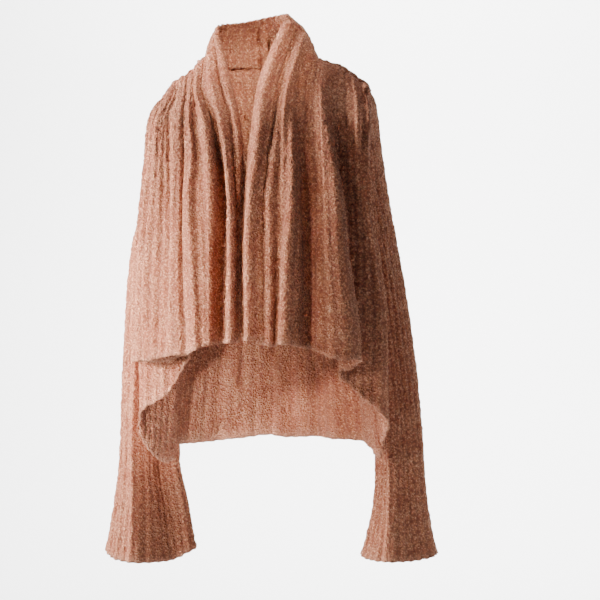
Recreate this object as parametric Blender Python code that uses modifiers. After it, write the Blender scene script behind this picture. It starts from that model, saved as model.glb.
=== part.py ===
"""A long-sleeved shawl cardigan of thick rib knit, holding the form in which it is worn.

Six pieces: back, two waterfall fronts, collar and two sleeves. Every piece is an open sheet, placed
row by row through its own fold lines, that gets its wall and its raised ribs from Solidify.
The tables are in millimetres; the meshes are in metres. +X is the wearer's left, the front faces -Y,
+Z is up, and the origin is between the shoulders at the height of the neck's base.
"""

import math

import bmesh
import bpy
import numpy as np

MM = 0.001

# Cloth
WALL = 3.0
RIB_HEIGHT = 2.2
BODY_RIB = 15.0
SLEEVE_RIB = 12.0
RIB_GATHERED = 0.45
RIB_FREE = 0.8
SEAM_GAP = 1.6

# The garment's fold lines are measured with the figure turned, in the upright plane through the neck,
# by an eye level with the waist: "across" and "height" below are places in that plane.
TURN = math.radians(12.0)
EYE_DISTANCE = 3000.0
EYE_ACROSS = 53.0
EYE_HEIGHT = -342.0

# Armhole: an upright ring at each shoulder, leaning outwards at the top
ARMHOLE_REACH = 150.0
ARMHOLE_LEAN = 10.0
ARMHOLE_DEPTH = 8.0
ARMHOLE_HEIGHT = -97.0
ARMHOLE_HALF_WIDTH = 62.0
ARMHOLE_HALF_HEIGHT = 95.0
ARMHOLE_EASE = 10.0

# How far the hanging fronts stand before the shoulder line, and how much they fall back to the sides
FRONT_REACH = (
    # drop, reach, fall
    (-90, 0, 0.0),
    (6, 45, 0.05),
    (54, 78, 0.12),
    (110, 105, 0.24),
    (182, 125, 0.32),
    (270, 142, 0.38),
    (440, 158, 0.38),
    (640, 160, 0.38),
)
FRONT_MIDDLE = -25.0
FRONT_SIDE = 200.0
SHOULDER_ROLL = 75.0
SIDE_ROLL = 60.0

# Heights at which each fold line of a front is placed
HEIGHTS = (-6, -54, -110, -182, -270, -406)
SET_BACK_HEIGHTS = (54, 270)

# Fold lines of a front, from the opening edge outwards and round to the side seam.
# top: (across, height, depth) on the shoulder, or an angle round the armhole
# across: at HEIGHTS; hem: (across, height); back: set back behind the front at chest, waist and hem
RIGHT_FRONT = (
    # name, top, across, hem, back
    ("edge", (-77, 85, -5), (-55, -44, -39, -43, -46, -47), (-47, -410), (8, 18, 19)),
    ("edge roll", (-82, 83, -2), (-64, -51, -46, -47, -48, -49), (-49, -410), (-3, 11, 12)),
    ("first valley", (-84, 74, 0), (-74, -59, -55, -52, -51, -52), (-52, -410), (4, 4, 5)),
    ("second roll", (-93, 62, 3), (-85, -72, -64, -58, -57, -58), (-58, -411), (-7, -9, -10)),
    ("deep valley", (-97, 50, 5), (-105, -89, -76, -67, -69, -72), (-72, -412), (8, 15, 16)),
    ("third roll", (-109, 38, 8), (-112, -99, -90, -86, -88, -91), (-91, -414), (-6, 4, 5)),
    ("shoulder valley", (-114, 30, 9), (-118, -116, -107, -104, -102, -101), (-101, -415), (5, 0, -1)),
    ("bright ridge", (-120, 24, 10), (-124, -126, -121, -127, -122, -118), (-114, -422), (-4, -9, -9)),
    ("groove", (-126, 20, 10), (-129, -134, -133, -134, -136, -139), (-131, -430), (3, 3, 3)),
    ("shoulder ridge", (-131, 16, 10), (-134, -141, -142, -144, -146, -150), (-147, -431), (-4, -4, -3)),
    ("shoulder groove", (-140, 10, 10), (-142, -157, -156, -155, -156, -162), (-165, -434), (3, 2, 2)),
    ("panel", (-148, 7, 10), (-156, -172, -175, -179, -186, -189), (-189, -440), (0, 0, 0)),
    ("turn front", 4, (-162, -182, -187, -194, -203, -207), (-205, -440), (10, 2, 3)),
    ("outer turn", 10, (-164, -188, -193, -200, -210, -214), (-212, -440), (18, 10, 12)),
    ("turn back", 18, (-164, -183, -188, -192, -203, -207), (-206, -441), (27, 22, 23)),
    ("second layer", 38, (-164, -174, -180, -181, -180, -163), (-163, -440), (23, 25, 27)),
    ("inner turn front", 56, (-164, -168, -174, -178, -168, -130), (-128, -428), (24, 28, 31)),
    ("inner turn", 64, (-164, -166, -170, -176, -165, -121), (-118, -427), (22, 33, 40)),
    ("inner turn back", 72, (-164, -166, -168, -174, -168, -130), (-128, -445), (22, 40, 48)),
    ("third layer", 90, (-164, -166, -166, -171, -174, -162), (-160, -494), (32, 42, 54)),
    ("side turn front", 108, (-164, -166, -160, -166, -184, -196), (-195, -517), (49, 42, 46)),
    ("side turn", 117, (-164, -166, -156, -159, -188, -203), (-202, -539), (58, 46, 52)),
    ("side turn back", 126, (-164, -166, -152, -152, -181, -197), (-197, -565), (66, 56, 65)),
    ("fourth layer", 140, (-160, -160, -150, -148, -162, -177), (-184, -585), (62, 74, 86)),
    ("under the arm", 158, (-150, -150, -150, -146, -144, -153), (-167, -599), (105, 103, 121)),
    ("beside the seam", 170, (-145, -145, -145, -142, -133, -138), (-156, -601), (125, 123, 144)),
    ("side seam", 179.5, (-140, -140, -140, -138, -132, -137), (-145, -597), (90, 126, 150)),
)
LEFT_FRONT = (
    # name, top, across, hem, back
    ("edge", (29, 110, -5), (-15, -22, -29, -34, -37, -37), (-37, -408), (8, 12, 12)),
    ("first roll", (37, 107, -2), (-4, -11, -19, -27, -31, -30), (-30, -408), (-6, -8, -8)),
    ("first valley", (47, 93, 0), (16, 9, 0, -7, -8, -8), (-6, -411), (7, 10, 9)),
    ("split roll a", (54, 90, 2), (27, 19, 14, 6, 6, 3), (5, -416), (-5, -6, -6)),
    ("split groove", (58, 85, 3), (34, 27, 25, 22, 20, 11), (13, -418), (-6, 0, 2)),
    ("split roll b", (62, 75, 4), (40, 36, 37, 36, 30, 20), (24, -414), (-4, -9, -9)),
    ("wide valley a", (67, 63, 5), (48, 46, 51, 53, 56, 54), (53, -418), (5, 5, 5)),
    ("wide valley b", (76, 50, 6), (61, 61, 62, 67, 71, 72), (71, -421), (6, 14, 14)),
    ("ridge side", (83, 42, 8), (79, 81, 82, 84, 83, 84), (84, -426), (0, 2, 2)),
    ("bright ridge", (91, 39, 9), (88, 91, 94, 98, 101, 109), (107, -437), (-8, -12, -11)),
    ("outer turn", (100, 37, 10), (95, 99, 104, 113, 121, 138), (139, -439), (-1, 2, 3)),
    ("turn back", (105, 36, 10), (100, 103, 107, 113, 119, 131), (134, -453), (6, 14, 16)),
    ("inner turn", (111, 34, 10), (106, 108, 110, 111, 111, 114), (112, -459), (11, 23, 26)),
    ("inner turn back", (118, 30, 10), (113, 114, 116, 117, 118, 122), (118, -470), (14, 32, 36)),
    ("dark plane", (127, 22, 10), (129, 131, 132, 134, 135, 134), (132, -478), (13, 34, 42)),
    ("soft ridge", (137, 15, 10), (142, 146, 146, 148, 150, 144), (149, -496), (2, 28, 40)),
    ("outer plane", (147, 8, 10), (155, 156, 153, 156, 165, 170), (168, -510), (0, 24, 38)),
    ("side turn front", 5, (159, 162, 158, 162, 175, 187), (184, -525), (-2, 22, 30)),
    ("side turn", 15, (162, 167, 162, 166, 179, 192), (193, -539), (4, 28, 35)),
    ("side turn back", 28, (162, 164, 158, 160, 173, 184), (189, -555), (13, 42, 47)),
    ("fourth layer", 62, (150, 150, 141, 142, 149, 162), (182, -573), (-3, 70, 76)),
    ("under the arm", 105, (145, 145, 140, 137, 138, 149), (178, -596), (20, 84, 95)),
    ("beside the seam", 142, (141, 141, 141, 137, 134, 144), (170, -587), (60, 103, 116)),
    ("side seam", 179.5, (140, 140, 140, 140, 133, 143), (162, -570), (90, 126, 150)),
)
FRONT_ROWS = 10
ROW_CROWDING = 1.7

# Side seam and the back's own form: distance from the middle and depth at each height
SIDE_SEAM = (
    # height, reach, depth
    (-192, 140, 8),
    (-270, 134, 12),
    (-406, 142, 22),
    (-500, 152, 28),
    (-580, 160, 33),
)
BACK_FORM = (
    # height, middle, beside the middle, corner reach, corner depth
    (48, 82, 76, 126, 14),
    (0, 90, 82, 138, 42),
    (-54, 96, 90, 136, 77),
    (-110, 101, 97, 130, 87),
    (-182, 104, 100, 122, 76),
    (-270, 103, 98, 118, 62),
    (-406, 100, 95, 126, 62),
    (-580, 97, 91, 142, 66),
)
BACK_PLACES = (0.0, 0.12, 0.3, 0.5, 0.7, 0.88, 1.0)
BACK_LINES = 33
BACK_SETTLING_ROWS = 4.0
BACK_HEM = -566.0
BACK_HEM_CORNER = -578.0
ARMHOLE_ROWS = 8
SKIRT_ROWS = 4

# Collar stand, from its right end round the back of the neck to its left end
COLLAR_STAND = (
    # along, edge (x, y, z), neck seam (x, y, z)
    (0.00, (-78, -5, 86), (-115, 8, 38)),
    (0.14, (-86, 30, 97), (-112, 42, 43)),
    (0.30, (-66, 57, 106), (-82, 70, 46)),
    (0.46, (-36, 67, 116), (-38, 81, 48)),
    (0.60, (-7, 64, 121), (8, 81, 48)),
    (0.76, (17, 46, 121), (50, 68, 47)),
    (0.90, (29, 17, 115), (78, 38, 45)),
    (1.00, (31, -5, 110), (84, 8, 43)),
)
COLLAR_BULGE = 5.0
COLLAR_END = 0.22
COLLAR_BACK = 2.0
COLLAR_RISE = 1.5
COLLAR_TUCK = 6.4
COLLAR_LAP = 2.0
COLLAR_ROWS = 5
COLLAR_COLUMNS = 36
COLLAR_EDGE_LINES = {-1: 6, 1: 9}

# Sleeves, from the armhole to the cuff
RIGHT_SLEEVE = (
    # outer (across, height), inner (across, height), depth of the middle, half depth
    ((-171, -42), (-138, -199), 12, 58),
    ((-180, -88), (-138, -214), 18, 54),
    ((-188, -142), (-136, -245), 28, 50),
    ((-196, -198), (-133, -290), 40, 47),
    ((-213, -264), (-134, -342), 51, 45),
    ((-221, -360), (-138, -415), 62, 43),
    ((-227, -470), (-142, -492), 71, 42),
    ((-232, -598), (-144, -598), 75, 42),
    ((-240, -662), (-131, -662), 70, 44),
    ((-246, -705), (-124, -705), 64, 46),
    ((-253, -738), (-118, -738), 58, 47),
)
LEFT_SLEEVE = (
    # outer (across, height), inner (across, height), depth of the middle, half depth
    ((171, -34), (145, -199), 12, 59),
    ((176, -78), (147, -214), 17, 55),
    ((184, -134), (149, -245), 26, 51),
    ((195, -202), (152, -290), 38, 48),
    ((207, -264), (158, -342), 49, 45),
    ((229, -400), (168, -432), 62, 43),
    ((244, -540), (176, -545), 72, 41),
    ((248, -600), (177, -600), 75, 41),
    ((253, -662), (174, -662), 70, 43),
    ((259, -705), (167, -705), 64, 45),
    ((268, -748), (155, -748), 58, 47),
)
SLEEVE_ROWS = 12
SLEEVE_CROWDING = 1.35
SLEEVE_START = 4.0
SLEEVE_EASE = -4.0
CUFF_DROP = {-1: 20.0, 1: 8.0}

CLOTH_COLOUR = {
    "back": (0.56, 0.30, 0.21),
    "front_right": (0.66, 0.36, 0.26),
    "front_left": (0.60, 0.31, 0.22),
    "collar": (0.64, 0.34, 0.23),
    "sleeve_right": (0.68, 0.38, 0.28),
    "sleeve_left": (0.52, 0.27, 0.19),
}


def smooth_through(knots, values, at):
    """The smooth curve through values at increasing knots, which never swings past them."""
    knots = np.asarray(knots, float)
    values = np.asarray(values, float)
    at = np.atleast_1d(np.asarray(at, float))
    piece = np.clip(np.searchsorted(knots, at) - 1, 0, len(knots) - 2)
    shape = (-1,) + (1,) * (values.ndim - 1)
    chords = np.diff(values, axis=0) / np.diff(knots).reshape(shape)
    before = np.concatenate([chords[:1], chords])
    after = np.concatenate([chords, chords[-1:]])
    most = 3 * np.minimum(abs(before), abs(after)) * (before * after > 0)
    slopes = np.clip(np.gradient(values, knots, axis=0), -most, most)
    width = (knots[piece + 1] - knots[piece]).reshape(shape)
    part = ((at - knots[piece]) / width.reshape(-1)).reshape(shape)
    start = (2 * part**3 - 3 * part**2 + 1) * values[piece]
    leave = (part**3 - 2 * part**2 + part) * width * slopes[piece]
    end = (3 * part**2 - 2 * part**3) * values[piece + 1]
    arrive = (part**3 - part**2) * width * slopes[piece + 1]
    return start + leave + end + arrive


def from_sight(across, height, depth):
    """The garment's own x, y, z of a point seen at a place and known to lie at this depth."""
    side = across - EYE_ACROSS
    top = EYE_DISTANCE * across + depth * (side * math.cos(TURN) - EYE_DISTANCE * math.sin(TURN))
    x = top / (EYE_DISTANCE * math.cos(TURN) + side * math.sin(TURN))
    nearer = x * math.sin(TURN) - depth * math.cos(TURN)
    z = EYE_HEIGHT + (height - EYE_HEIGHT) * (EYE_DISTANCE - nearer) / EYE_DISTANCE
    return np.stack([x, depth + 0.0 * x, z], axis=-1)


def to_sight(point):
    """Where the eye sees a point: (across, height)."""
    x, y, z = point
    nearer = x * math.sin(TURN) - y * math.cos(TURN)
    grow = EYE_DISTANCE / (EYE_DISTANCE - nearer)
    across = EYE_ACROSS + (x * math.cos(TURN) + y * math.sin(TURN) - EYE_ACROSS) * grow
    return across, EYE_HEIGHT + (z - EYE_HEIGHT) * grow


def armhole(angle, side, ease=ARMHOLE_EASE):
    """A point of the armhole: 0 degrees is the shoulder, 90 the front, 180 the underarm."""
    turn = np.radians(angle)
    x = side * (ARMHOLE_REACH + ARMHOLE_LEAN * np.cos(turn))
    y = ARMHOLE_DEPTH - (ARMHOLE_HALF_WIDTH + ease) * np.sin(turn)
    z = ARMHOLE_HEIGHT + (ARMHOLE_HALF_HEIGHT + ease) * np.cos(turn)
    return np.stack([x, y, z], axis=-1)


def front_line(row, side, rows):
    """One fold line of a front, as a point for each row."""
    _, top, across, hem, back = row
    roll = SHOULDER_ROLL
    if not isinstance(top, tuple):
        corner = armhole(float(top), side)
        roll = SIDE_ROLL
        top = (*to_sight(corner), corner[1])
    first, last = top[1], hem[1]
    kept = [i for i, height in enumerate(HEIGHTS) if last + 25 < height < first - 14]
    knots = [-first] + [-HEIGHTS[i] for i in kept] + [-last]
    places = [top[0]] + [across[i] for i in kept] + [hem[0]]
    height = first + (last - first) * rows
    seen = smooth_through(knots, places, -height)
    reach, fall = np.transpose([np.interp(-height, *np.array(FRONT_REACH)[:, (0, i)].T) for i in (1, 2)]).T
    full = 1 - fall * ((seen - FRONT_MIDDLE) / FRONT_SIDE) ** 2
    hang = np.interp(-height, (*SET_BACK_HEIGHTS, -last), back) - reach * full
    lead = np.sqrt(1 - (1 - np.clip((first - height) / roll, 0, 1)) ** 2)
    depth = top[2] + (hang - top[2]) * lead
    return from_sight(seen, height, depth)


def through_lines(lines, columns):
    """A grid of points, rows by columns, on the smooth sections through the given lines."""
    lines = np.asarray(lines)
    half = lines[:, lines.shape[1] // 2 :]
    steps = np.linalg.norm(np.diff(half, axis=0), axis=2).mean(axis=1)
    along = np.concatenate([[0], np.cumsum(steps)])
    places = np.linspace(0, along[-1], columns + 1)
    return np.stack([smooth_through(along, lines[:, row], places) for row in range(lines.shape[1])])


def line_length(lines):
    lines = np.asarray(lines)
    half = lines[:, lines.shape[1] // 2 :]
    return np.linalg.norm(np.diff(half, axis=0), axis=2).mean(axis=1).sum()


def even_columns(length, pitch):
    """Two columns for each rib: one on its crest and one in the groove."""
    return 2 * round(length / pitch)


def front_rows():
    return np.linspace(0, 1, FRONT_ROWS + 1) ** ROW_CROWDING


def side_seam(height, side):
    """The side seam's points below the underarm."""
    table = np.array(SIDE_SEAM, float)
    reach = smooth_through(-table[:, 0], table[:, 1], -height)
    depth = smooth_through(-table[:, 0], table[:, 2], -height)
    return np.stack([side * reach, depth, height + 0.0 * reach], axis=-1)


def front_seam_line(row, side, rows):
    """The last line of a front, down the side seam to the hem."""
    top = armhole(float(row[1]), side)
    hem = from_sight(float(row[3][0]), float(row[3][1]), SIDE_SEAM[-1][2])
    line = side_seam(top[2] + (hem[2] - top[2]) * rows, side)
    line[0] = top
    return line


def front_grid(table, side):
    lines = [front_line(row, side, front_rows()) for row in table[:-1]]
    lines.append(front_seam_line(table[-1], side, front_rows()))
    lines = [line - np.array([0, 0.5 * SEAM_GAP, 0]) for line in lines]
    return through_lines(lines, even_columns(line_length(lines), BODY_RIB))


def front_tops(table, side):
    """The tops of a front's lines that lie on the collar and shoulder seams."""
    return np.array([front_line(row, side, np.zeros(1))[0] for row in table if isinstance(row[1], tuple)])


def back_edge(side):
    """The back's edge: round the back of the armhole, then down the side seam."""
    ring = armhole(-np.linspace(0, 179.5, ARMHOLE_ROWS + 1), side)
    heights = np.linspace(ring[-1, 2], BACK_HEM_CORNER, SKIRT_ROWS + 1)[1:]
    return np.concatenate([ring, side_seam(heights, side)])


def seam_along_top():
    """Shoulder and neck seams as one line, from the wearer's left shoulder to the right one."""
    left = front_tops(LEFT_FRONT, 1)[COLLAR_EDGE_LINES[1] - 1 :]
    right = front_tops(RIGHT_FRONT, -1)[COLLAR_EDGE_LINES[-1] - 1 :]
    neck = np.array([row[2] for row in COLLAR_STAND[1:-1]], float)
    return np.concatenate([left[::-1], neck[::-1], right])


def back_grid():
    """The back's lines run from the shoulder and neck seams to the hem, its rows follow the armholes."""
    edges = {side: back_edge(side) for side in (1, -1)}
    top = np.concatenate([edges[1][:1], seam_along_top(), edges[-1][:1]])
    along = np.concatenate([[0], np.cumsum(np.linalg.norm(np.diff(top, axis=0), axis=1))])
    places = np.linspace(0, 1, BACK_LINES)
    first = smooth_through(along / along[-1], top, places)
    hem = np.interp(places, (0, 0.2, 0.8, 1), (BACK_HEM_CORNER, BACK_HEM, BACK_HEM, BACK_HEM_CORNER))
    form = np.array(BACK_FORM, float)
    rows = []
    for row, (left, right) in enumerate(zip(edges[1], edges[-1])):
        drop = (edges[1][0, 2] - left[2]) / (edges[1][0, 2] - BACK_HEM_CORNER)
        heights = first[:, 2] + (hem - first[:, 2]) * drop
        middle, beside = smooth_through(-form[:, 0], form[:, 1:3], -heights[[BACK_LINES // 2]])[0]
        reach, depth = smooth_through(-form[:, 0], form[:, 3:], -left[2:])[0]
        x = (left[0], reach, 0.5 * reach, 0, -0.5 * reach, -reach, right[0])
        y = (left[1], depth, beside, middle, beside, depth, right[1])
        section = smooth_through(BACK_PLACES, np.transpose([x, y]), places)
        settled = np.clip(row / BACK_SETTLING_ROWS + min(row, 1) * abs(2 * places - 1) ** 4, 0, 1)
        line = first.copy()
        line[:, 0] += (section[:, 0] - first[:, 0]) * settled
        line[:, 1] += (section[:, 1] - first[:, 1]) * settled**0.7
        line[:, 2] = heights
        line[0], line[-1] = left, right
        rows.append(line)
    lines = np.swapaxes(np.array(rows), 0, 1) + np.array([0, 0.5 * SEAM_GAP, 0])
    return through_lines(lines, even_columns(line_length(lines), BODY_RIB))


def collar_grid():
    """The collar's rows run from its free edge to the neck seam, its columns round the neck."""
    along = np.array([row[0] for row in COLLAR_STAND])
    places = np.linspace(0, 1, COLLAR_COLUMNS + 1)
    edge = smooth_through(along, [row[1] for row in COLLAR_STAND], places)
    seam = smooth_through(along, [row[2] for row in COLLAR_STAND], places)
    ends = {}
    for side, table in ((-1, RIGHT_FRONT), (1, LEFT_FRONT)):
        tops = front_tops(table, side)[: COLLAR_EDGE_LINES[side]]
        steps = np.concatenate([[0], np.cumsum(np.linalg.norm(np.diff(tops, axis=0), axis=1))])
        share = np.linspace(0, 1, COLLAR_ROWS + 1)
        ends[side] = smooth_through(steps / steps[-1], tops, share)
    middle = np.array([-20.0, 20.0, 80.0])
    grid = []
    for row, share in enumerate(np.linspace(0, 1, COLLAR_ROWS + 1)):
        line = edge + (seam - edge) * share
        outward = line - middle
        outward /= np.linalg.norm(outward, axis=1)[:, None]
        line = line + outward * COLLAR_BULGE * math.sin(math.pi * share)
        for side, where in ((-1, places), (1, 1 - places)):
            near = np.clip(1 - where / COLLAR_END, 0, 1)[:, None] ** 2
            at_end = line[0] if side < 0 else line[-1]
            line = line + near * (ends[side][row] + np.array([0, COLLAR_BACK, COLLAR_RISE]) - at_end)
        inwards = (middle - line) * (1, 1, 0)
        inwards *= COLLAR_TUCK / np.linalg.norm(inwards, axis=1)[:, None]
        grid.append(line + (inwards - (0, 0, COLLAR_LAP)) * share**2)
    return np.array(grid)


def sleeve_grid(table, side):
    """Rings from the armhole to the cuff; the seam of each ring is under the arm."""
    start = armhole(np.array([0.0, 180.0]), side, ease=SLEEVE_EASE)
    inwards = np.array([-side * SLEEVE_START, 0, 0])
    outer, inner = [start[0] + inwards, start[0]], [start[1] + inwards, start[1]]
    middle, half = [ARMHOLE_DEPTH] * 2, [ARMHOLE_HALF_WIDTH + SLEEVE_EASE] * 2
    for outside, inside, depth, half_depth in table:
        outer.append(from_sight(float(outside[0]), float(outside[1]), float(depth)))
        inner.append(from_sight(float(inside[0]), float(inside[1]), float(depth)))
        middle.append(depth)
        half.append(half_depth)
    outer, inner = np.array(outer), np.array(inner)
    centre = 0.5 * (outer + inner)
    steps = np.linalg.norm(np.diff(centre, axis=0), axis=1)
    along = np.concatenate([[0], np.cumsum(steps)])
    at = along[-1] * np.linspace(0, 1, SLEEVE_ROWS + 1) ** SLEEVE_CROWDING
    outer, inner = smooth_through(along, outer, at), smooth_through(along, inner, at)
    middle, half = smooth_through(along, middle, at), smooth_through(along, half, at)
    width = 0.5 * np.linalg.norm(outer - inner, axis=1)
    girth = (2 * np.pi * np.sqrt(0.5 * (width**2 + half**2))).mean()
    angles = np.linspace(-np.pi, np.pi, even_columns(girth, SLEEVE_RIB) + 1)
    cos, sin = np.cos(angles)[None, :, None], np.sin(angles)[None, :, None]
    grid = 0.5 * (outer + inner)[:, None] + 0.5 * (outer - inner)[:, None] * cos
    grid[..., 1] = middle[:, None] - half[:, None] * sin[..., 0]
    low = np.clip((at / at[-1] - 0.8) / 0.2, 0, 1)[:, None] ** 2
    grid[..., 2] -= CUFF_DROP[side] * low * np.maximum(sin[..., 0], 0)
    return grid


def normals_of(grid):
    """Unit normals of a grid of points, from its neighbours."""
    down, across = np.gradient(grid, axis=0), np.gradient(grid, axis=1)
    if np.allclose(grid[:, 0], grid[:, -1]):
        joined = grid[:, 1] - grid[:, -2]
        across[:, 0] = across[:, -1] = joined
    normal = np.cross(across, -down)
    normal /= np.linalg.norm(normal, axis=2)[..., None]
    inner = normal[:, 1:-1] + 0.5 * (normal[:, :-2] + normal[:, 2:])
    normal[:, 1:-1] = inner / np.linalg.norm(inner, axis=2)[..., None]
    return normal


def cloth_piece(name, grid, ribs_start=0):
    """A piece of cloth: its points as a sheet, with a plain inside and ribs raised outside."""
    rows, columns = grid.shape[0] - 1, grid.shape[1] - 1
    normal = normals_of(grid)
    normal[0, :, 1] = 0
    normal[0] /= np.linalg.norm(normal[0], axis=1)[:, None]
    inside = (grid - normal * 0.5 * WALL) * MM
    spread = np.linalg.norm(np.gradient(grid, axis=1), axis=2)
    full = np.clip((spread / np.median(spread) - RIB_GATHERED) / (RIB_FREE - RIB_GATHERED), 0, 1)
    full[:ribs_start] = 0
    bm = bmesh.new()
    bmesh.ops.create_grid(bm, x_segments=columns, y_segments=rows, size=0.5)
    weight = bm.verts.layers.deform.verify()
    for vert in bm.verts:
        column = round((vert.co.x + 0.5) * columns)
        row = round((0.5 - vert.co.y) * rows)
        vert.co = inside[row, column]
        vert[weight][0] = full[row, column] if column % 2 else 0.0
    bmesh.ops.remove_doubles(bm, verts=bm.verts, dist=0.02 * MM)
    mesh = bpy.data.meshes.new(name)
    bm.to_mesh(mesh)
    bm.free()
    mesh.shade_smooth()
    piece = bpy.data.objects.new(name, mesh)
    piece.vertex_groups.new(name="rib crests")
    thick = piece.modifiers.new("wall", "SOLIDIFY")
    thick.thickness = (WALL + RIB_HEIGHT) * MM
    thick.offset = 1.0
    thick.vertex_group = "rib crests"
    thick.thickness_vertex_group = WALL / (WALL + RIB_HEIGHT)
    mesh.materials.append(knit_material(name))
    return piece


def knit_material(name):
    material = bpy.data.materials.new(name)
    material.use_nodes = True
    shader = material.node_tree.nodes["Principled BSDF"]
    shader.inputs["Base Color"].default_value = (*CLOTH_COLOUR[name], 1.0)
    shader.inputs["Roughness"].default_value = 0.95
    shader.inputs["Metallic"].default_value = 0.0
    return material


def build():
    for old in list(bpy.data.objects):
        bpy.data.objects.remove(old)
    cardigan = bpy.data.collections.new("shawl_cardigan")
    bpy.context.scene.collection.children.link(cardigan)
    pieces = [
        cloth_piece("front_left", front_grid(LEFT_FRONT, 1)),
        cloth_piece("front_right", front_grid(RIGHT_FRONT, -1)[:, ::-1]),
        cloth_piece("back", back_grid(), ribs_start=1),
        cloth_piece("collar", collar_grid()[:, ::-1]),
        cloth_piece("sleeve_left", sleeve_grid(LEFT_SLEEVE, 1)[:, ::-1], ribs_start=3),
        cloth_piece("sleeve_right", sleeve_grid(RIGHT_SLEEVE, -1), ribs_start=3),
    ]
    for piece in pieces:
        cardigan.objects.link(piece)


build()
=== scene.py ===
# %% [markdown]
# A shawl cardigan in thick rib knit of looped yarn, holding the form in which it is worn.
# Two fronts fall in waterfall folds from a draped collar, the back is longer, and the sleeves flare
# at the cuff. Each piece of cloth is a thin shell on the form of its solid, with its ribs, its curly yarn
# and its creases. It could be sculpted or simulated. Here every fold is a line in a table, because
# it then stays where it is put and is moved by changing one number.

# %% The tools and the solids
import math

import bmesh
import bpy
import numpy as np
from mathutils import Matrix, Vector, noise


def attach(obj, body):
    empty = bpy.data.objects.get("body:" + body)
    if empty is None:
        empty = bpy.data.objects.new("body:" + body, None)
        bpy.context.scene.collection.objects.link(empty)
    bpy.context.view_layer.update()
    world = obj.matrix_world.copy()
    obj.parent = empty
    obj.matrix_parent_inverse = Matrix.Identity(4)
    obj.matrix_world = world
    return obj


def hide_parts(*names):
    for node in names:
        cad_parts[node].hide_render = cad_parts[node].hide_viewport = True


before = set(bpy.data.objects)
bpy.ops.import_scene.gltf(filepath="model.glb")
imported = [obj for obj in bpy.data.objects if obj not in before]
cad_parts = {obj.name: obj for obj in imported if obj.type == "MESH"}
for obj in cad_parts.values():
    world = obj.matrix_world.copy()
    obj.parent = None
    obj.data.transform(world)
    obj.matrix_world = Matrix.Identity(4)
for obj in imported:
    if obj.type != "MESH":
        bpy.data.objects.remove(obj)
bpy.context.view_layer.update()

MM = 0.001

# %% [markdown]
# The cloth is 3 mm thick between its ribs. A rib stands 2 mm proud and comes every 15 mm on the body
# and every 12 mm on the sleeves, as a wide rib does that is knitted two needles on and two off.
# Where the cloth is gathered to less than RIB_FREE of its usual width, the ribs get lower,
# and at RIB_GATHERED they are nearly flat. The fronts and the back part by the gap of their seams.

# %% The cloth and its ribs
WALL = 3.0
RIB_HEIGHT = 2.2
BODY_RIB = 15.0
SLEEVE_RIB = 12.0
RIB_GATHERED = 0.45
RIB_FREE = 0.8
SEAM_GAP = 1.6
print("a rib is", BODY_RIB, "mm wide on the body and", SLEEVE_RIB, "mm on a sleeve")

# %% [markdown]
# The garment is turned by 12 degrees and looked at from one place. So each fold line below is given
# by where it is seen, across and up in the upright plane through the neck, and its depth is worked out
# from how far the cloth stands out there.

# %% The eye
TURN = math.radians(12.0)
EYE_DISTANCE = 3000.0
EYE_ACROSS = 53.0
EYE_HEIGHT = -342.0
print("the eye is", EYE_DISTANCE * MM, "m away")

# %% [markdown]
# The armhole is an upright ring at each shoulder. The body is cut a little wider than the sleeve's ring,
# so that the sleeve sits inside it. The side seam starts from it at SEAM_ANGLE, just before the underarm.

# %% The armhole
ARMHOLE_REACH = 150.0
ARMHOLE_LEAN = 10.0
ARMHOLE_DEPTH = 8.0
ARMHOLE_HEIGHT = -97.0
ARMHOLE_HALF_WIDTH = 62.0
ARMHOLE_HALF_HEIGHT = 95.0
ARMHOLE_EASE = 5.0
SEAM_ANGLE = 179.5


def armhole(angle, side, ease=ARMHOLE_EASE):
    """A point of the armhole: 0 degrees is the shoulder, 90 the front, 180 the underarm."""
    turn = np.radians(angle)
    x = side * (ARMHOLE_REACH + ARMHOLE_LEAN * np.cos(turn))
    y = ARMHOLE_DEPTH - (ARMHOLE_HALF_WIDTH + ease) * np.sin(turn)
    z = ARMHOLE_HEIGHT + (ARMHOLE_HALF_HEIGHT + ease) * np.cos(turn)
    return np.stack([x, y, z], axis=-1)


print("the underarm lies at", armhole(180.0, 1).round(1).tolist())

# %% [markdown]
# The fronts don't fall straight from the shoulder. They stand further out as they go down,
# and fall back towards the sides. Each fold line has its own place at six heights, and a table gives how far
# it is set back there, at chest, waist and hem.

# %% How far the fronts stand out
FRONT_REACH = (
    # drop, reach, fall
    (-90, 0, 0.0),
    (6, 45, 0.05),
    (54, 78, 0.12),
    (110, 105, 0.24),
    (182, 125, 0.32),
    (270, 142, 0.38),
    (440, 158, 0.38),
    (640, 160, 0.38),
)
FRONT_MIDDLE = -25.0
FRONT_SIDE = 200.0
SHOULDER_ROLL = 75.0
SIDE_ROLL = 60.0
HEIGHTS = (-6, -54, -110, -182, -270, -406)
SET_BACK_HEIGHTS = (54, 270)
print("the fronts stand out by up to", max(row[1] for row in FRONT_REACH), "mm")

# %% [markdown]
# A waterfall front is one wide panel. From the opening edge it rolls and gathers under the collar,
# turns back under itself at the outer fold, comes forward again behind it, and runs round the arm
# to the side seam. The first table is the right front, whose outer fold is the wide plane with
# the dark flute under it. A fold line's top is a point on the shoulder or an angle round the armhole.

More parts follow.
